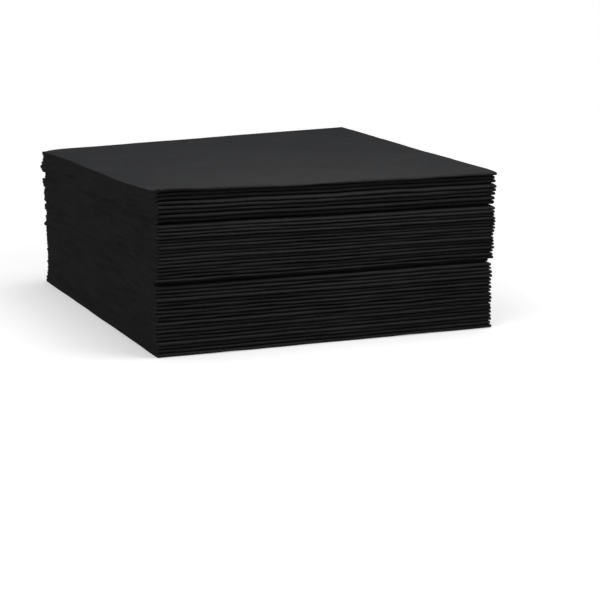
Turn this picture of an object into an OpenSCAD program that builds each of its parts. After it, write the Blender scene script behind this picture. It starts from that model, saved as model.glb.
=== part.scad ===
// Stack of quarter-folded paper napkins in three bundles.
// Each napkin is one square sheet, folded in half and in half again.
// The first fold lies on the +X side and the spine fold on the -Y side.
// The cut edges lie on the -X and +Y sides.
// Origin: middle of the footprint, on the surface that the stack rests on.

/* [Sheet] */
// Side of the open square sheet
sheet_side = 400; // [240:10:500]
// Thickness of the paper
paper_t = 0.39; // [0.2:0.01:0.6]

/* [Folding] */
// Air between the two layers of a pair, at their cut edges
pair_air = 0.055; // [0.04:0.005:0.2]
// Air between the first folds of the lower and the upper pair, at their open edge
middle_air = 0.02; // [0.01:0.005:0.2]
// How much the first fold is thicker than the two layers that lead to it
fold_bulge = 0.04; // [0.02:0.005:0.1]
// How much higher a napkin is at its first fold than at the cut edges opposite
fold_rise = 0.065; // [0.02:0.005:0.15]
// How much higher a napkin is at its spine fold than at the open edge opposite
spine_rise = 0.146; // [0.02:0.002:0.2]

/* [Bundles] */
// Number of napkins in the bottom bundle
bottom_count = 19; // [10:1:24]
// Number of napkins in the middle bundle
middle_count = 16; // [8:1:20]
// Number of napkins in the top bundle
top_count = 8; // [4:1:16]
// Extra air in each of the three gaps between the layers of a napkin, in the bottom bundle
bottom_puff = 0.049; // [0:0.001:0.2]
// Extra air in each gap in the middle bundle
middle_puff = 0; // [0:0.001:0.2]
// Extra air in each gap in the top bundle, which nothing presses down
top_puff = 0.135; // [0:0.001:0.2]
// Air between two napkins where they lie closest
lie_gap = 0.006; // [0.002:0.001:0.05]

/* [Misalignment] */
// How far the bottom bundle is turned about the vertical at its foot, in degrees
bottom_turn = 0.5; // [-1:0.1:1]
// How much of that turn the bottom bundle loses on the way up
bottom_twist = 0.6; // [0:0.1:1]
// How far the middle bundle is turned
middle_turn = 0.3; // [-1:0.1:1]
// How far the top bundle is turned
top_turn = 0.5; // [-1:0.1:1]
// How far the bottom bundle leans towards the cut edges at its top
bottom_lean = 0.8; // [0:0.1:3]
// Largest slide of one napkin, sideways and front to back
napkin_slide = 0.45; // [0:0.05:1]
// Largest turn of one napkin against its bundle, in degrees
napkin_turn = 0.15; // [0:0.05:0.3]
// How far the bottom bundle's top napkin is pushed back behind the other spines
tuck_back = 4; // [0:0.5:8]
// Which of the possible shuffles the stack has
shuffle = 4; // [1:1:40]

/* [Hidden] */
$fn = 48;

folded_side = sheet_side / 2;
napkin_count = bottom_count + middle_count + top_count;

paper_colour = [0.13, 0.13, 0.14];

// A napkin is a wedge: its top plane rises towards the first fold and the spine fold.
// Each pair's tilt is a whole number of these steps, so that it meets the spine fold exactly.
tilt_step = 0.001;
pair_tilt = tilt_step * round(atan(spine_rise / folded_side / 2) / tilt_step);
fold_slope = fold_rise / folded_side;
spine_slope = 2 * tan(pair_tilt);
wedge_slope = norm([fold_slope, spine_slope]);
wedge_angle = 2 * atan(wedge_slope / 2);
tilt_axis = [-spine_slope, -fold_slope, 0];

// Each napkin adds its wedge to the tilt of the next, and slides within its own plane.
slide_x = rands(-napkin_slide, napkin_slide, napkin_count, shuffle);
slide_y = rands(-napkin_slide, napkin_slide, napkin_count, shuffle + napkin_count);
turns = rands(-napkin_turn, napkin_turn, napkin_count, shuffle + 2 * napkin_count);
most_turn = napkin_turn + max([for (i = [0 : napkin_count - 1]) abs(bundle_turn(i))]);
slide_lift = fold_slope * (napkin_slide + bottom_lean) + spine_slope * (napkin_slide + tuck_back);
turn_lift = (fold_slope + spine_slope) * folded_side / 2 * sin(most_turn);
layer_gap = lie_gap + slide_lift + turn_lift + fold_bulge;

function in_bottom(i) = i < bottom_count;
function in_middle(i) = !in_bottom(i) && i < bottom_count + middle_count;
function puff(i) = in_bottom(i) ? bottom_puff : in_middle(i) ? middle_puff : top_puff;
function way_up(i) = i / (bottom_count - 1);
function bundle_turn(i) =
    in_bottom(i) ? bottom_turn - bottom_twist * way_up(i) : in_middle(i) ? middle_turn : top_turn;
function lean(i) = in_bottom(i) ? -bottom_lean * way_up(i) : 0;
function tuck(i) = i == bottom_count - 1 ? tuck_back : 0;

// Air in a pair at its cut edges and at its fold, and between the pairs at the open edge and the spine.
function cut_air(i) = pair_air + puff(i);
function fold_air(i) = cut_air(i) + fold_rise / 2;
function open_air(i) = middle_air + fold_bulge + puff(i);
function spine_air(i) = open_air(i) + spine_slope * folded_side;
function pair_t(i) = 2 * paper_t + (cut_air(i) + fold_air(i)) / 2;
function spine_r(i) = spine_air(i) / 2 + pair_t(i);
function napkin_t(i) = 2 * pair_t(i) + (open_air(i) + spine_air(i)) / 2;
function base_z(i) = i == 0 ? 0 : base_z(i - 1) + (napkin_t(i - 1) + layer_gap) / cos(i * wedge_angle);

// Long wedge that ends in a round bulge: cut_w wide at the cut edges and fold_w wide at the fold.
module bulged_wedge(cut_w, fold_w, cut_y, fold_y) {
    polygon([[0, cut_y], [cut_w, cut_y], [fold_w, fold_y], [0, fold_y]]);
    translate([fold_w / 2, fold_y])
        circle(d = fold_w + fold_bulge);
}

// Section of one pair across its first fold: x is the distance from the spine axis, y runs along it.
module pair_section(i) {
    fold_y = folded_side / 2 - paper_t - (fold_air(i) + fold_bulge) / 2;
    cut_y = -folded_side / 2;
    translate([spine_air(i) / 2, 0])
        difference() {
            bulged_wedge(2 * paper_t + cut_air(i), 2 * paper_t + fold_air(i), cut_y, fold_y);
            translate([paper_t, 0])
                bulged_wedge(cut_air(i), fold_air(i), cut_y - paper_t, fold_y);
        }
}

// The lower pair, the spine fold that turns it over, and the upper pair.
module folded_sheet(i) {
    leg = folded_side - spine_r(i);
    translate([0, -folded_side / 2 + spine_r(i), 0])
        rotate([0, 90, 0]) {
            rotate([0, 0, pair_tilt])
                translate([0, leg, 0])
                    rotate([90, 0, 0])
                        linear_extrude(height = leg)
                            pair_section(i);
            rotate([0, 0, 180 - pair_tilt])
                rotate_extrude(angle = 180 + 2 * pair_tilt)
                    pair_section(i);
            rotate([0, 0, 180 - pair_tilt])
                rotate([90, 0, 0])
                    linear_extrude(height = leg)
                        pair_section(i);
        }
}

// One napkin, lying on the one below it; i counts from 0 at the bottom.
module napkin(i) {
    color(paper_colour)
        translate([0, -tuck_back / 2, fold_bulge / 2 + base_z(i)])
            rotate(a = i * wedge_angle, v = tilt_axis)
                translate([slide_x[i] + lean(i), slide_y[i] + tuck(i), napkin_t(i) / 2])
                    rotate([0, 0, bundle_turn(i) + turns[i]])
                        rotate(a = wedge_angle / 2, v = tilt_axis)
                            folded_sheet(i);
}

for (i = [0 : napkin_count - 1]) {
    napkin(i);
}
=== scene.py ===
import math
from collections import namedtuple

import bpy
import numpy as np
from mathutils import Matrix, Vector


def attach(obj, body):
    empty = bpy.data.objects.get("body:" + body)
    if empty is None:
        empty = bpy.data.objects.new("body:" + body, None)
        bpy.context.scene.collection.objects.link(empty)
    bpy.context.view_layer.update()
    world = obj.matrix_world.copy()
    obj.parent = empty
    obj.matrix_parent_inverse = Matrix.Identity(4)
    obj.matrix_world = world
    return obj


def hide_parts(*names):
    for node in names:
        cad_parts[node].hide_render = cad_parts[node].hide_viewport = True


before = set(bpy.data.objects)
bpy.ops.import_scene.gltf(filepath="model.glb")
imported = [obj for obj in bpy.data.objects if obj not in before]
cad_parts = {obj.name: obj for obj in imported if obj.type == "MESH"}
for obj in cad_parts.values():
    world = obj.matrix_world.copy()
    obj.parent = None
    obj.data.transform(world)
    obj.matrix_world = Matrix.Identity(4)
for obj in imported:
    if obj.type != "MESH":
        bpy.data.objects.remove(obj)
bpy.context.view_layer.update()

MM = 0.001

# The open sheet and its paper
PAPER_T = 0.36 * MM

# Left and front edges of the stack in the frame, its side, and the reach in which a corner's height is read
STACK_LEFT = -100 * MM
STACK_FRONT = -102 * MM
STACK_SIDE = 200 * MM
CORNER_REACH = 4 * MM

# Seeds of the random draws: for the stack, and for its front left corner
STACK_SEED = 20
CORNER_SEED = 5

# How the air in a napkin's slot is shared out: in each pair, between the pairs, and the rest outside
PAIR_SHARE = 0.2
MIDDLE_SHARE = 0.42

# The most of a napkin's slot that its four layers of paper may take
SQUEEZE = 0.97

# Resolution: steps across an outer layer, outer steps to one inner step, steps along a leg and round the
# folds, how much closer the steps lie at the ends, and the angle from which an edge is sharp, in degrees
OUTER_STEPS = 64
TOP_OUTER_STEPS = 96
INNER_RATIO = 4
LEG_STEPS = 32
TOP_LEG_STEPS = 64
FOLD_STEPS = 6
SPINE_STEPS = 8
END_CROWDING = 0.6
SHARP_ANGLE = 50

# How far the top of the stack stands above the flat plane at its corners:
# front left and right, back left and right
CORNER_RISE = (2.4 * MM, -1.8 * MM, -0.9 * MM, 2.2 * MM)

# Broad dips in the top of the stack: middle in x and y, reach in x and y, and depth, in millimetres
DIPS = (
    (-100, -60, 40, 55, 2.6),
    (-100, 10, 40, 75, 0.7),
    (-100, -106, 30, 8, -1.3),
    (-10, -102, 36, 70, 0.8),
    (5, 98, 45, 60, 0.5),
    (100, 10, 28, 70, 0.5),
)
DIP_NAPKINS = 10

# Waves that the napkins lie in: how many, their height and lengths, the most that their phase shifts from
# napkin to napkin, and the number of napkins above the floor in which they grow
WAVE_COUNT = 14
WAVE_HEIGHT = 0.12 * MM
WAVE_LONGEST = 240 * MM
WAVE_SHORTEST = 45 * MM
WAVE_DRIFT = 0.35
WAVE_NAPKINS = 6

# The top napkins sag at their left and front edges: how far, over what distance, and how many of them
SAG_LEFT = 1.0 * MM
SAG_FRONT = 0.7 * MM
SAG_REACH = 5 * MM
SAG_NAPKINS = 10

# Both sags fade towards the front left corner: how far the left one's fade has come there, and over what
# distances
SAG_LEFT_START = 0.3
SAG_LEFT_FADE = 10 * MM
SAG_FRONT_FADE = 40 * MM

# The spines just under one napkin, counted from 1, are pressed down: how far, over how many napkins, and over
# what distance
GROOVE_NAPKIN = 36
GROOVE_DEPTH = 1.3 * MM
GROOVE_NAPKINS = 16
GROOVE_REACH = 25 * MM

# The spine folds are pressed thinner than the napkins: the range of the share that each keeps, the reach of
# the press, how much the share wanders along the spine, and its limits
PINCH_LEAST = 0.66
PINCH_MOST = 0.86
PINCH_REACH = 3.5 * MM
PINCH_WANDER = 0.08
PINCH_WANDER_SHORTEST = 15 * MM
PINCH_LIMITS = (0.4, 0.95)

# They lie high or low in the room that this leaves: how far at most, as a share of it, how much that wanders
# along the spine, and its limit
HEIGHT_MOST = 0.5
HEIGHT_WANDER = 0.4
HEIGHT_WANDER_SHORTEST = 20 * MM
HEIGHT_LIMIT = 0.9

# Napkins whose spine has a height or a pinch of its own, counted from 1
SPINE_HEIGHT = {35: -0.6, 36: 0.9, 40: -0.3, 43: 0.3}
SPINE_PINCH = {36: 0.45}

# The paper is fluffed up at its cut and open edges, so that it takes these shares of the air there
FLUFF_LEFT = 0.85
FLUFF_LEFT_TOP = 0.55
FLUFF_BACK = 0.4
FLUFF_REACH = 2 * MM

# How far the edges wander from the straight line: folds and cut edges of a whole napkin, and cut and open
# edges of one layer
FOLD_WANDER = 0.14 * MM
NAPKIN_WANDER = 0.12 * MM
LAYER_WANDER = 0.05 * MM
OPEN_WANDER = 0.25 * MM
WANDER_WAVES = 9
WANDER_LONGEST = 150 * MM
WANDER_SHORTEST = 12 * MM

# The reach in which a napkin follows its edges
EDGE_REACH = 12 * MM

# How far the layers of a napkin are out of line at its cut and open edges, and how short its outer layers are
CUT_STAGGER = 0.05 * MM
OPEN_STAGGER = 0.4 * MM
OUTER_LAYER_SHORT = 0.5 * MM

# Papers and airs from a napkin's middle to the middle of a pair, past which its outer layer lies
PAIR_MIDDLE = 1.5

# Small dents in the cut edges on the left: how many there may be, the chance of each on a whole napkin and on
# one layer by itself, the share that bulge out instead, and their places, lengths and depths
DENTS = 2
DENT_CHANCE = 0.55
LAYER_DENT_CHANCE = 0.4
BULGE_SHARE = 0.4
DENT_PLACES = (0.08, 0.92)
DENT_LENGTHS = (3.6 * MM, 9.6 * MM)
DENT_DEPTHS = (0.4 * MM, 1.0 * MM)

# How unevenly the cut edges end at the front left corner
FRONT_UNEVEN = 0.8 * MM
FRONT_UNEVEN_REACH = 7 * MM

# How many napkins at the top and at the bottom have neither dents nor uneven ends
SMOOTH_AT_TOP = 4
SMOOTH_AT_BOTTOM = 2

# Napkins whose cut edge on the left stands in from the others, counted from 1, in millimetres
CUT_IN = {35: 0.3, 36: 0.65}

# Napkins whose spine stands back from the others, or out where negative, counted from 1, in millimetres
SPINE_BACK = {
    8: 0.45, 18: 0.55, 20: 0.25, 27: 0.45, 36: 1.4, 37: 0.5, 40: -0.2, 41: 1.8, 42: 2.1, 43: -0.6,
}

# The cut edges on the left lie almost flush: how far each is moved towards the mean of its neighbours, at its
# front and its back
FLUSH_SHARE = np.array([0.8, 0.45])
FLUSH_NEIGHBOURS = 4

# How far the cut edges stand out at the back left corner, in millimetres, at these shares of the napkins from
# the bottom
BACK_LEFT_AT = (0, 0.06, 0.2, 0.36, 0.5, 0.62, 0.8, 1)
BACK_LEFT_OUT = (-0.5, -1.3, -1.5, -1.1, -0.6, 0.6, 0.8, 0.6)
BACK_LEFT_REACH = 70 * MM

# Napkins whose back left corner is bent out past the others, or in where negative, counted from 1,
# in millimetres
CORNER_OUT = {
    6: -0.8, 20: 0.8, 24: -0.9, 27: -1.4, 34: 0.5, 35: 0.6, 36: -0.5, 37: -1.2, 38: 0.5, 39: 1.8, 40: 1.3,
    41: 0.6, 43: 0.5,
}
CORNER_OUT_REACH = 18 * MM

# Paper: its colour, and how far the tint goes to either side of it
PAPER_COLOUR = (0.0388, 0.0386, 0.0387)
TINT_SPREAD = 0.2
PAPER_SURFACE = {
    "Roughness": 0.92,
    "Specular IOR Level": 0.006,
    "Sheen Weight": 0.011,
    "Sheen Tint": (0.3, 0.55, 1, 1),
    "Sheen Roughness": 0.5,
}

# Its cloudy patches, its fibres in two directions, how much these tint it, and the mean of the noise
CLOUDS = {"Scale": 38, "Detail": 6, "Roughness": 0.65}
FIBRES = {"Scale": 1, "Detail": 3, "Distortion": 0.6}
FIBRE_STRETCHES = ((1500, 260, 1500), (260, 1500, 1500))
FIBRE_TINT = 0.5
NOISE_MIDDLE = 0.5

# Its small lumps, how much higher they are than the fibres, and the bump of both
LUMPS = {"Scale": 300, "Detail": 2}
LUMP_HEIGHT = 3
BUMP = {"Strength": 0.6, "Distance": 0.5 * MM}

# Floor: how far it reaches, its grey where it only gives light and where it is seen, and the glow that
# whitens it
FLOOR_REACH = 12
FLOOR_GIVING = 0.15
FLOOR_SEEN = 0.93
FLOOR_GLOW = 0.385
FLOOR_SURFACE = {"Roughness": 1, "Specular IOR Level": 0, "Emission Color": (1, 1, 1, 1)}

# Sky: its strength where it only gives light and where it is seen
SKY_GIVING = 0.44
SKY_SEEN = 1

# Soft distant light: the direction that it comes from, its strength, and its spread in degrees
KEY_FROM = Vector((0.26, 0.04, 0.96))
KEY_STRENGTH = 0.72
KEY_SPREAD = 46

# Weak round panels near the stack, for the front of its top and for its cut edges: place, aim, size and power
TOP_PANEL = (Vector((0, -0.155, 0.25)), Vector((0, -0.11, 0.09)), 0.1, 0.15)
LEFT_PANEL = (Vector((-0.42, 0.1, 0.17)), Vector((-0.1, 0, 0.08)), 0.2, 0.05)

# The photographed viewpoint: angles in degrees, distance, aim, lens and sensor in millimetres, and clip range
CAMERA_AZIMUTH = -23.98
CAMERA_ELEVATION = 12.97
CAMERA_ROLL = 1.10
CAMERA_DISTANCE = 1.170
CAMERA_AIM = Vector((0.0182, -0.0202, 0.0048))
CAMERA_LENS = 120
CAMERA_SENSOR = 36
CAMERA_CLIP = (0.05, 40)


# Plan and slots of the napkins, read from the frame

Plan = namedtuple("Plan", "front_left along_spine along_cut wide deep")


def node_points(node):
    """The vertices of a CAD node, as an array."""
    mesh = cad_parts[node].data
    points = np.zeros(len(mesh.vertices) * 3, np.float32)
    mesh.vertices.foreach_get("co", points)
    return points.reshape(-1, 3).astype(float)


def plan_of(points):
    """A napkin's front left corner, its directions along the spine and along the cut edges, and its size."""
    flat = points[:, :2]
    front_left = flat[np.argmin(flat.sum(axis=1))]
    back_left = flat[np.argmin(flat[:, 0] - flat[:, 1])]
    along_cut = (back_left - front_left) / np.linalg.norm(back_left - front_left)
    along_spine = np.array([along_cut[1], -along_cut[0]])
    wide = ((flat - front_left) @ along_spine).max()
    deep = ((flat - front_left) @ along_cut).max()
    return Plan(front_left, along_spine, along_cut, wide, deep)


def corner_points(points, plan):
    """Lowest and highest points of a napkin near each of its corners."""
    lowest = []
    highest = []
    for x in (0, plan.wide):
        for y in (0, plan.deep):
            corner = plan.front_left + x * plan.along_spine + y * plan.along_cut
            close = points[np.linalg.norm(points[:, :2] - corner, axis=1) < CORNER_REACH]
            lowest.append([*corner, close[:, 2].min()])
            highest.append([*corner, close[:, 2].max()])
    return lowest, highest


def plane_through(points):
    """Height at the origin and slopes in x and y of the plane nearest to the points."""
    points = np.array(points)
    flat = np.column_stack([np.ones(len(points)), points[:, :2]])
    return np.linalg.lstsq(flat, points[:, 2], rcond=None)[0]


def left_edge(plan):
    """World x of a napkin's cut edge, at its front and at its back."""
    return plan.front_left[0], plan.front_left[0] + plan.deep * plan.along_cut[0]


names = sorted(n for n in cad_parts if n.startswith("napkin_"))
count = len(names)
plans = []
lowest = []
highest = []
for name in names:
    points = node_points(name)
    plans.append(plan_of(points))
    low_points, high_points = corner_points(points, plans[-1])
    lowest.append(low_points)
    highest.append(high_points)
left_edges = np.array([left_edge(plan) for plan in plans])

# The surface above each number of napkins, from the floor to the top of the stack
levels = [np.zeros(3)]
levels += [plane_through(highest[k - 1] + lowest[k]) for k in range(1, count)]
levels.append(plane_through(highest[-1]))
stack_height = levels[-1][0]


# Smooth random fields

rng = np.random.default_rng(STACK_SEED)


def smooth_step(value):
    value = np.clip(value, 0, 1)
    return value * value * (3 - 2 * value)


def plane_waves(number, longest, shortest):
    """Random plane waves: wave vectors, phases, drift of the phase from napkin to napkin, and heights."""
    length = np.exp(rng.uniform(math.log(shortest), math.log(longest), number))
    angle = rng.uniform(0, 2 * math.pi, number)
    vectors = 2 * math.pi / length[:, None] * np.stack([np.cos(angle), np.sin(angle)], axis=1)
    phases = rng.uniform(0, 2 * math.pi, number)
    drifts = rng.uniform(-WAVE_DRIFT, WAVE_DRIFT, number)
    heights = length / longest
    return vectors, phases, drifts, heights / np.linalg.norm(heights) * math.sqrt(2)


def wander_line(amount, shortest=WANDER_SHORTEST):
    """A function of the distance along an edge that wanders by about amount."""
    length = np.exp(rng.uniform(math.log(shortest), math.log(WANDER_LONGEST), WANDER_WAVES))
    phase = rng.uniform(0, 2 * math.pi, WANDER_WAVES)
    height = np.sqrt(length / WANDER_LONGEST)
    height *= amount * math.sqrt(2) / np.linalg.norm(height)

    def at(distance):
        total = np.zeros_like(distance)
        for wave, start, size in zip(length, phase, height):
            total += size * np.sin(2 * math.pi * distance / wave + start)
        return total
    return at


slot_waves = plane_waves(WAVE_COUNT, WAVE_LONGEST, WAVE_SHORTEST)
front_corners = np.random.default_rng(CORNER_SEED).uniform(-FRONT_UNEVEN, FRONT_UNEVEN, count)


# Surfaces between the napkins

def part_sunk(k, napkins):
    """Share of a dip in the top that the surface above k napkins has, where so many napkins share the dip."""
    return np.clip((k - count) / napkins + 1, 0, 1)


def dip(x, y):
    """How far the top of the stack lies below the surface between its corners."""
    total = np.zeros_like(x)
    for middle_x, middle_y, reach_x, reach_y, depth in DIPS:
        from_middle = ((x / MM - middle_x) / reach_x) ** 2 + ((y / MM - middle_y) / reach_y) ** 2
        total += depth * MM * np.exp(-from_middle)
    return total


def sag(x, y):
    """How far the top of the stack sinks close to its left and front edges."""
    from_left = np.maximum(x - STACK_LEFT, 0)
    from_front = np.maximum(y - STACK_FRONT, 0)
    left_fade = smooth_step(SAG_LEFT_START + from_front / SAG_LEFT_FADE)
    front_fade = smooth_step(from_left / SAG_FRONT_FADE)
    left = SAG_LEFT * np.exp(-from_left / SAG_REACH) * left_fade
    front = SAG_FRONT * np.exp(-from_front / SAG_REACH) * front_fade
    return left + front


def groove(k, y):
    """How far the surface above k napkins is pressed down at the spines under the groove."""
    if k >= GROOVE_NAPKIN:
        return np.zeros_like(y)
    share = max(1 - (GROOVE_NAPKIN - 1 - k) / GROOVE_NAPKINS, 0)
    return GROOVE_DEPTH * share * np.exp(-np.maximum(y - STACK_FRONT, 0) / GROOVE_REACH)


def warp(x, y):
    """How far the top of the stack stands above the flat plane, with its four corners raised or lowered."""
    right = (x - STACK_LEFT) / STACK_SIDE
    back = (y - STACK_FRONT) / STACK_SIDE
    front_left, front_right, back_left, back_right = CORNER_RISE
    at_front = front_left + (front_right - front_left) * right
    at_back = back_left + (back_right - back_left) * right
    return at_front + (at_back - at_front) * back


def level_height(k, x, y):
    """Height of the surface above k napkins, at a place in the frame."""
    at_origin, slope_x, slope_y = levels[k]
    plain = at_origin + slope_x * x + slope_y * y + warp(x, y) * at_origin / stack_height
    wave = np.zeros_like(plain)
    for vector, phase, drift, height in zip(*slot_waves):
        wave += height * np.sin(vector[0] * x + vector[1] * y + phase + drift * k)
    settled = 1 - math.exp(-k / WAVE_NAPKINS)
    sunk = part_sunk(k, DIP_NAPKINS) * dip(x, y) + part_sunk(k, SAG_NAPKINS) * sag(x, y)
    return plain + WAVE_HEIGHT * settled * wave - sunk - groove(k, y)


# Outline of a pair's section, and the path that it is swept along

# A section point: place from the cut edge to the fold (0 to 1), how far it stands out past the fold in
# papers and in pair air, and its distance from the middle in middle air, papers and pair air.
# A path row: place from the spine to the open edge (0 to 1), and turn about the spine.
Sweep = namedtuple("Sweep", "place out_paper out_air in_middle in_paper in_air leg turn")


def closer_at_ends(steps):
    """Places from 0 to 1 that lie closer together near both ends."""
    even = np.linspace(0, 1, steps + 1)
    return even - END_CROWDING * np.sin(2 * math.pi * even) / (2 * math.pi)


def half_turn(steps):
    """Angles from -90 to 90 degrees, without the two ends."""
    return np.linspace(-math.pi / 2, math.pi / 2, steps + 1)[1:-1]


def section_points(outer_steps):
    """The closed outline of a pair's section, and which of its points belong to each of its runs."""
    arc = [(math.cos(a), 1 + math.sin(a)) for a in half_turn(FOLD_STEPS)]
    outer = closer_at_ends(outer_steps)
    inner = outer[::INNER_RATIO]
    rows = []
    runs = {}

    def run(label, points):
        runs[label] = range(len(rows), len(rows) + len(points))
        rows.extend(points)

    run("middle", [(s, 0, 0, 1, 0, 0) for s in inner])
    run("bend_out", [(1, out, out / 2, 1, up, up / 2) for out, up in arc])
    run("outside", [(s, 0, 0, 1, 2, 1) for s in outer[::-1]])
    run("air_out", [(s, 0, 0, 1, 1, 1) for s in inner])
    run("bend_in", [(1, 0, out / 2, 1, 1, up / 2) for out, up in arc[::-1]])
    run("air_in", [(s, 0, 0, 1, 1, 0) for s in inner[::-1]])
    return np.array(rows, float), runs


def path_rows(leg_steps):
    """Rows from the open edge of the lower pair, round the spine fold, to the open edge of the upper pair."""
    legs = closer_at_ends(leg_steps)[::-1]
    rows = [(t, -math.pi / 2) for t in legs]
    rows += [(0, a) for a in half_turn(SPINE_STEPS)]
    rows += [(t, math.pi / 2) for t in legs[::-1]]
    return np.array(rows, float)


def end_faces(runs, base, flip):
    """Faces that close a pair's section at an open edge, for the row whose points count from base."""
    middle = list(runs["middle"])
    outside = list(runs["outside"])[::-1]
    air_out = list(runs["air_out"])
    air_in = list(runs["air_in"])[::-1]
    bend_out = [middle[-1], *runs["bend_out"], outside[-1]]
    bend_in = [air_in[-1], *list(runs["bend_in"])[::-1], air_out[-1]]
    faces = []
    for i in range(len(middle) - 1):
        faces.append([middle[i], middle[i + 1], air_in[i + 1], air_in[i]])
        along = outside[i * INNER_RATIO:(i + 1) * INNER_RATIO + 1]
        faces.append([air_out[i], air_out[i + 1], *along[::-1]])
    for i in range(len(bend_out) - 1):
        faces.append([bend_out[i], bend_out[i + 1], bend_in[i + 1], bend_in[i]])
    if flip:
        faces = [f[::-1] for f in faces]
    return [[base + i for i in f] for f in faces]


def sweep_faces(runs, rows, columns):
    """Faces of the closed section swept along the path, and of both its ends."""
    r, c = np.meshgrid(np.arange(rows - 1), np.arange(columns), indexing="ij")
    here = r * columns
    there = here + columns
    c_next = (c + 1) % columns
    quads = np.stack([here + c, there + c, there + c_next, here + c_next], axis=-1)
    faces = quads.reshape(-1, 4).tolist()
    faces += end_faces(runs, 0, False)
    faces += end_faces(runs, (rows - 1) * columns, True)
    return faces


# Layers of a napkin in its slot

Layers = namedtuple("Layers", "middle half paper_t pair_air middle_air")


def to_frame(plan, x, y):
    """World x and y of places in a napkin's plan."""
    flat = plan.front_left + x[..., None] * plan.along_spine + y[..., None] * plan.along_cut
    return flat[..., 0], flat[..., 1]


def fluff_at(index, x, y):
    """Share of the air in a napkin's slot that its fluffed paper takes."""
    left = FLUFF_LEFT_TOP if index == count - 1 else FLUFF_LEFT
    from_back = plans[index].deep - y
    return np.maximum(left * np.exp(-x / FLUFF_REACH), FLUFF_BACK * np.exp(-from_back / FLUFF_REACH))


def layers_at(index, x, y, fluff):
    """Middle of a napkin's slot and half of it, thickness of the paper, and air in and between the pairs."""
    place = to_frame(plans[index], x, y)
    low = level_height(index, *place)
    high = level_height(index + 1, *place)
    thickest = SQUEEZE * (high - low) / 4
    paper_t = np.minimum(PAPER_T, thickest)
    paper_t = paper_t + fluff * (thickest - paper_t)
    air = high - low - 4 * paper_t
    return Layers((low + high) / 2, (high - low) / 2, paper_t, PAIR_SHARE * air, MIDDLE_SHARE * air)


def off_middle(sweep, layers):
    """How far the points lie off the middle of their napkin, and how far its outside does."""
    off = sweep.in_middle * layers.middle_air / 2
    off = off + sweep.in_paper * layers.paper_t + sweep.in_air * layers.pair_air
    outside = layers.middle_air / 2 + 2 * layers.paper_t + layers.pair_air
    return off, outside


def straight_napkin(index, sweep):
    """Places of the points in the plan of a napkin with straight edges, and the fluff of its paper there."""
    plan = plans[index]
    shape = np.broadcast(sweep.leg, sweep.place).shape
    x = np.broadcast_to(sweep.place * plan.wide, shape)
    y = np.broadcast_to(sweep.leg * plan.deep, shape)
    fluff = fluff_at(index, x, y)
    layers = layers_at(index, x, y, fluff)
    off, outside = off_middle(sweep, layers)
    fold_x = plan.wide - layers.paper_t - layers.pair_air / 2
    x = sweep.place * fold_x + sweep.out_paper * layers.paper_t + sweep.out_air * layers.pair_air
    y = outside + sweep.leg * (plan.deep - outside) - off * np.cos(sweep.turn)
    return x, y, fluff


# Uneven edges and spines

def near_edge(distance):
    """Share of an edge's shift that is left at a distance from the edge."""
    return np.exp(-distance / EDGE_REACH)


def is_smooth(index):
    """True for the napkins at the top and at the bottom whose cut edges have no dents."""
    return index < SMOOTH_AT_BOTTOM or index >= count - SMOOTH_AT_TOP


def dents(index, y, chance):
    """How far a few small dents push a cut edge in, and bulges out."""
    total = np.zeros_like(y)
    for _ in range(DENTS):
        middle = rng.uniform(*DENT_PLACES) * plans[index].deep
        length = rng.uniform(*DENT_LENGTHS)
        depth = rng.uniform(*DENT_DEPTHS)
        if rng.random() < BULGE_SHARE:
            depth = -depth
        if rng.random() < chance and not is_smooth(index):
            total += depth * np.exp(-((y - middle) / length) ** 2)
    return total


def flush_line(index, y):
    """How far to move a napkin's cut edge to lie almost flush with its neighbours."""
    near = left_edges[max(index - FLUSH_NEIGHBOURS, 0):index + FLUSH_NEIGHBOURS + 1]
    front, back = FLUSH_SHARE * (near.mean(axis=0) - left_edges[index])
    return front + (back - front) * y / plans[index].deep


def corner_shift(index, y):
    """How far a napkin's cut edge is moved in at its front and back corners."""
    from_back = plans[index].deep - y
    back_left_out = np.interp(index / (count - 1), BACK_LEFT_AT, BACK_LEFT_OUT) * MM
    bent_out = CORNER_OUT.get(index + 1, 0) * MM
    shift = -back_left_out * np.exp(-from_back / BACK_LEFT_REACH)
    shift -= bent_out * np.exp(-from_back / CORNER_OUT_REACH)
    if not is_smooth(index):
        shift += front_corners[index] * np.exp(-np.maximum(y, 0) / FRONT_UNEVEN_REACH)
    return shift


def napkin_shift(index, x, y):
    """How far a whole napkin is moved in x and y by its uneven edges."""
    plan = plans[index]
    at_right = wander_line(FOLD_WANDER)(y)
    at_left = wander_line(NAPKIN_WANDER)(y)
    at_front = wander_line(FOLD_WANDER)(x) + SPINE_BACK.get(index + 1, 0) * MM
    at_left += dents(index, y, DENT_CHANCE) + CUT_IN.get(index + 1, 0) * MM
    at_left += flush_line(index, y) + corner_shift(index, y)
    shift_x = at_right * near_edge(plan.wide - x) + at_left * near_edge(x)
    return shift_x, at_front * near_edge(y)


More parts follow.
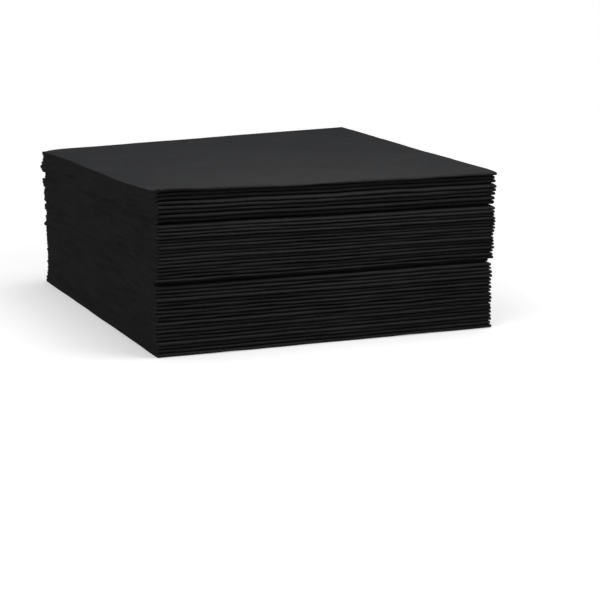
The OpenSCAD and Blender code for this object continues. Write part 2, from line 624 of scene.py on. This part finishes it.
def layer_shift(index, sweep, x, y):
    """How far each layer of a napkin is moved in x and y by its own uneven edges."""
    outer = sweep.in_paper + sweep.in_air > PAIR_MIDDLE
    upper = sweep.turn > 0
    at_left = np.zeros_like(x)
    at_back = np.zeros_like(x)
    for is_outer in (False, True):
        for is_upper in (False, True):
            this = (outer == is_outer) & (upper == is_upper)
            cut_stagger = rng.uniform(-CUT_STAGGER, CUT_STAGGER)
            open_stagger = rng.uniform(-OPEN_STAGGER, OPEN_STAGGER) - OUTER_LAYER_SHORT * is_outer
            cut_line = wander_line(LAYER_WANDER)(y) + cut_stagger
            at_left += this * (cut_line + dents(index, y, LAYER_DENT_CHANCE))
            at_back += this * (wander_line(OPEN_WANDER)(x) + open_stagger)
    off_spine = smooth_step(y / EDGE_REACH)
    return off_spine * at_left * near_edge(x), at_back * near_edge(plans[index].deep - y)


def spine_press(index, x, y):
    """Share of its thickness that a napkin keeps, and how high it lies in the room left, from -1 to 1."""
    kept = rng.uniform(PINCH_LEAST, PINCH_MOST)
    kept = SPINE_PINCH.get(index + 1, kept) + wander_line(PINCH_WANDER, PINCH_WANDER_SHORTEST)(x)
    height = rng.uniform(-HEIGHT_MOST, HEIGHT_MOST)
    height = SPINE_HEIGHT.get(index + 1, height) + wander_line(HEIGHT_WANDER, HEIGHT_WANDER_SHORTEST)(x)
    at_spine = np.exp(-np.maximum(y, 0) / PINCH_REACH)
    kept = 1 - at_spine * (1 - np.clip(kept, *PINCH_LIMITS))
    return kept, at_spine * np.clip(height, -HEIGHT_LIMIT, HEIGHT_LIMIT)


def folded_sheet(index, outer_steps, leg_steps):
    """Mesh data of one napkin, lying between the surfaces below and above it."""
    section, runs = section_points(outer_steps)
    path = path_rows(leg_steps)
    sweep = Sweep(*section.T[:, None, :], *path.T[:, :, None])
    x, y, fluff = straight_napkin(index, sweep)
    napkin_x, napkin_y = napkin_shift(index, x, y)
    layer_x, layer_y = layer_shift(index, sweep, x, y)
    kept, height = spine_press(index, x, y)
    x = x + napkin_x + layer_x
    y = y + napkin_y + layer_y
    layers = layers_at(index, x, y, fluff)
    off, outside = off_middle(sweep, layers)
    room = np.maximum(layers.half - kept * outside, 0)
    z = layers.middle + kept * off * np.sin(sweep.turn) + height * room
    points = np.stack([*to_frame(plans[index], x, y), z], axis=-1)
    return points.reshape(-1, 3), sweep_faces(runs, len(path), len(section))


# Materials

def new_material(name):
    material = bpy.data.materials.new(name)
    material.use_nodes = True
    return material, material.node_tree, material.node_tree.nodes["Principled BSDF"]


def set_inputs(node, values):
    for name, value in values.items():
        node.inputs[name].default_value = value


def add_noise(tree, vector, values):
    """A noise texture; returns its value."""
    noise = tree.nodes.new("ShaderNodeTexNoise")
    set_inputs(noise, values)
    tree.links.new(vector, noise.inputs["Vector"])
    return noise.outputs["Fac"]


def add_math(tree, operation, *values):
    """A math node on sockets and numbers; returns its value."""
    node = tree.nodes.new("ShaderNodeMath")
    node.operation = operation
    for value, socket in zip(values, node.inputs):
        if isinstance(value, bpy.types.NodeSocket):
            tree.links.new(value, socket)
        else:
            socket.default_value = value
    return node.outputs["Value"]


def add_mix(tree, kind, factor, at_zero, at_one):
    """A mix of two numbers (FLOAT) or colours (RGBA); returns its result."""
    mix = tree.nodes.new("ShaderNodeMix")
    mix.data_type = kind
    set_inputs(mix, {"A": at_zero, "B": at_one})
    tree.links.new(factor, mix.inputs["Factor"])
    return mix.outputs["Result"]


def fibre_web(tree, place):
    """Fine fibres in two directions, laid over each other."""
    fibres = []
    for stretch in FIBRE_STRETCHES:
        squeeze = tree.nodes.new("ShaderNodeMapping")
        squeeze.inputs["Scale"].default_value = stretch
        tree.links.new(place, squeeze.inputs["Vector"])
        fibres.append(add_noise(tree, squeeze.outputs["Vector"], FIBRES))
    return add_math(tree, "ADD", *fibres)


def paper_material():
    """Soft black airlaid paper: matt, with fine fibres and faint cloudy patches."""
    material, tree, shader = new_material("black_paper")
    place = tree.nodes.new("ShaderNodeTexCoord").outputs["Object"]
    web = fibre_web(tree, place)

    patches = add_math(tree, "SUBTRACT", add_noise(tree, place, CLOUDS), NOISE_MIDDLE)
    tint = add_math(tree, "MULTIPLY_ADD", web, FIBRE_TINT, patches)
    dark = (*(c * (1 - TINT_SPREAD) for c in PAPER_COLOUR), 1)
    light = (*(c * (1 + TINT_SPREAD) for c in PAPER_COLOUR), 1)
    tree.links.new(add_mix(tree, "RGBA", tint, dark, light), shader.inputs["Base Color"])

    bump = tree.nodes.new("ShaderNodeBump")
    set_inputs(bump, BUMP)
    relief = add_math(tree, "MULTIPLY_ADD", add_noise(tree, place, LUMPS), LUMP_HEIGHT, web)
    tree.links.new(relief, bump.inputs["Height"])
    tree.links.new(bump.outputs["Normal"], shader.inputs["Normal"])

    set_inputs(shader, PAPER_SURFACE)
    return material


def seen_directly(tree):
    """1 where the camera, a mirror or glass shows a surface, and 0 where the surface only gives light."""
    rays = tree.nodes.new("ShaderNodeLightPath").outputs
    reflected = add_math(tree, "MAXIMUM", rays["Is Glossy Ray"], rays["Is Transmission Ray"])
    return add_math(tree, "MAXIMUM", rays["Is Camera Ray"], reflected)


def floor_material():
    """Pale floor: white where it is seen, and duller to the light that it throws back."""
    material, tree, shader = new_material("pale_floor")
    seen = seen_directly(tree)
    dull = (FLOOR_GIVING, FLOOR_GIVING, FLOOR_GIVING, 1)
    pale = (FLOOR_SEEN, FLOOR_SEEN, FLOOR_SEEN, 1)
    tree.links.new(add_mix(tree, "RGBA", seen, dull, pale), shader.inputs["Base Color"])
    tree.links.new(add_math(tree, "MULTIPLY", seen, FLOOR_GLOW), shader.inputs["Emission Strength"])
    set_inputs(shader, FLOOR_SURFACE)
    return material


# The napkins

paper = paper_material()


def add_napkin(index):
    is_top = index == count - 1
    outer_steps = TOP_OUTER_STEPS if is_top else OUTER_STEPS
    leg_steps = TOP_LEG_STEPS if is_top else LEG_STEPS
    points, faces = folded_sheet(index, outer_steps, leg_steps)
    name = "folded_" + names[index]
    mesh = bpy.data.meshes.new(name)
    mesh.from_pydata(points, [], faces)
    mesh.validate()
    mesh.polygons.foreach_set("use_smooth", [True] * len(mesh.polygons))
    mesh.set_sharp_from_angle(angle=math.radians(SHARP_ANGLE))
    mesh.materials.append(paper)
    piece = bpy.data.objects.new(name, mesh)
    bpy.context.scene.collection.objects.link(piece)
    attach(piece, "root")
    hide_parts(names[index])


for index in range(count):
    add_napkin(index)


# Floor, light and camera

def add_floor():
    mesh = bpy.data.meshes.new("floor")
    corners = [(x * FLOOR_REACH, y * FLOOR_REACH, 0) for x, y in ((-1, -1), (1, -1), (1, 1), (-1, 1))]
    mesh.from_pydata(corners, [], [(0, 1, 2, 3)])
    mesh.materials.append(floor_material())
    floor = bpy.data.objects.new("floor", mesh)
    bpy.context.scene.collection.objects.link(floor)


def add_lamp(name, light, direction):
    """Put a light into the scene; direction points from what it lights to the lamp."""
    lamp = bpy.data.objects.new(name, light)
    lamp.rotation_mode = "QUATERNION"
    lamp.rotation_quaternion = direction.to_track_quat("Z", "Y")
    bpy.context.scene.collection.objects.link(lamp)
    return lamp


def add_sun(name, direction, strength, spread):
    """A soft, distant light."""
    light = bpy.data.lights.new(name, "SUN")
    light.energy = strength
    light.angle = math.radians(spread)
    add_lamp(name, light, direction)


def add_panel(name, place, aim, size, power):
    """A small round soft light, which brightens the part of the stack that is nearest."""
    light = bpy.data.lights.new(name, "AREA")
    light.shape = "DISK"
    light.size = size
    light.energy = power
    lamp = add_lamp(name, light, place - aim)
    lamp.location = place
    lamp.visible_camera = False


def set_world():
    """Grey sky, white where it is seen."""
    world = bpy.data.worlds.new("studio")
    bpy.context.scene.world = world
    world.use_nodes = True
    tree = world.node_tree
    backdrop = tree.nodes["Background"]
    backdrop.inputs["Color"].default_value = (1, 1, 1, 1)
    strength = add_mix(tree, "FLOAT", seen_directly(tree), SKY_GIVING, SKY_SEEN)
    tree.links.new(strength, backdrop.inputs["Strength"])


def set_camera():
    azimuth = math.radians(CAMERA_AZIMUTH)
    elevation = math.radians(CAMERA_ELEVATION)
    back = Vector((
        math.sin(azimuth) * math.cos(elevation),
        -math.cos(azimuth) * math.cos(elevation),
        math.sin(elevation),
    ))
    data = bpy.data.cameras.new("camera")
    data.lens = CAMERA_LENS
    data.sensor_width = CAMERA_SENSOR
    data.clip_start, data.clip_end = CAMERA_CLIP
    camera = bpy.data.objects.new("camera", data)
    camera.rotation_mode = "QUATERNION"
    camera.location = CAMERA_AIM + back * CAMERA_DISTANCE
    upright = (-back).to_track_quat("-Z", "Y").to_matrix()
    roll = Matrix.Rotation(math.radians(CAMERA_ROLL), 3, "Z")
    camera.rotation_quaternion = (upright @ roll).to_quaternion()
    bpy.context.scene.collection.objects.link(camera)
    bpy.context.scene.camera = camera


add_floor()
add_sun("key", KEY_FROM, KEY_STRENGTH, KEY_SPREAD)
add_panel("top_panel", *TOP_PANEL)
add_panel("left_panel", *LEFT_PANEL)
set_world()
set_camera()
bpy.context.scene.view_settings.view_transform = "Standard"
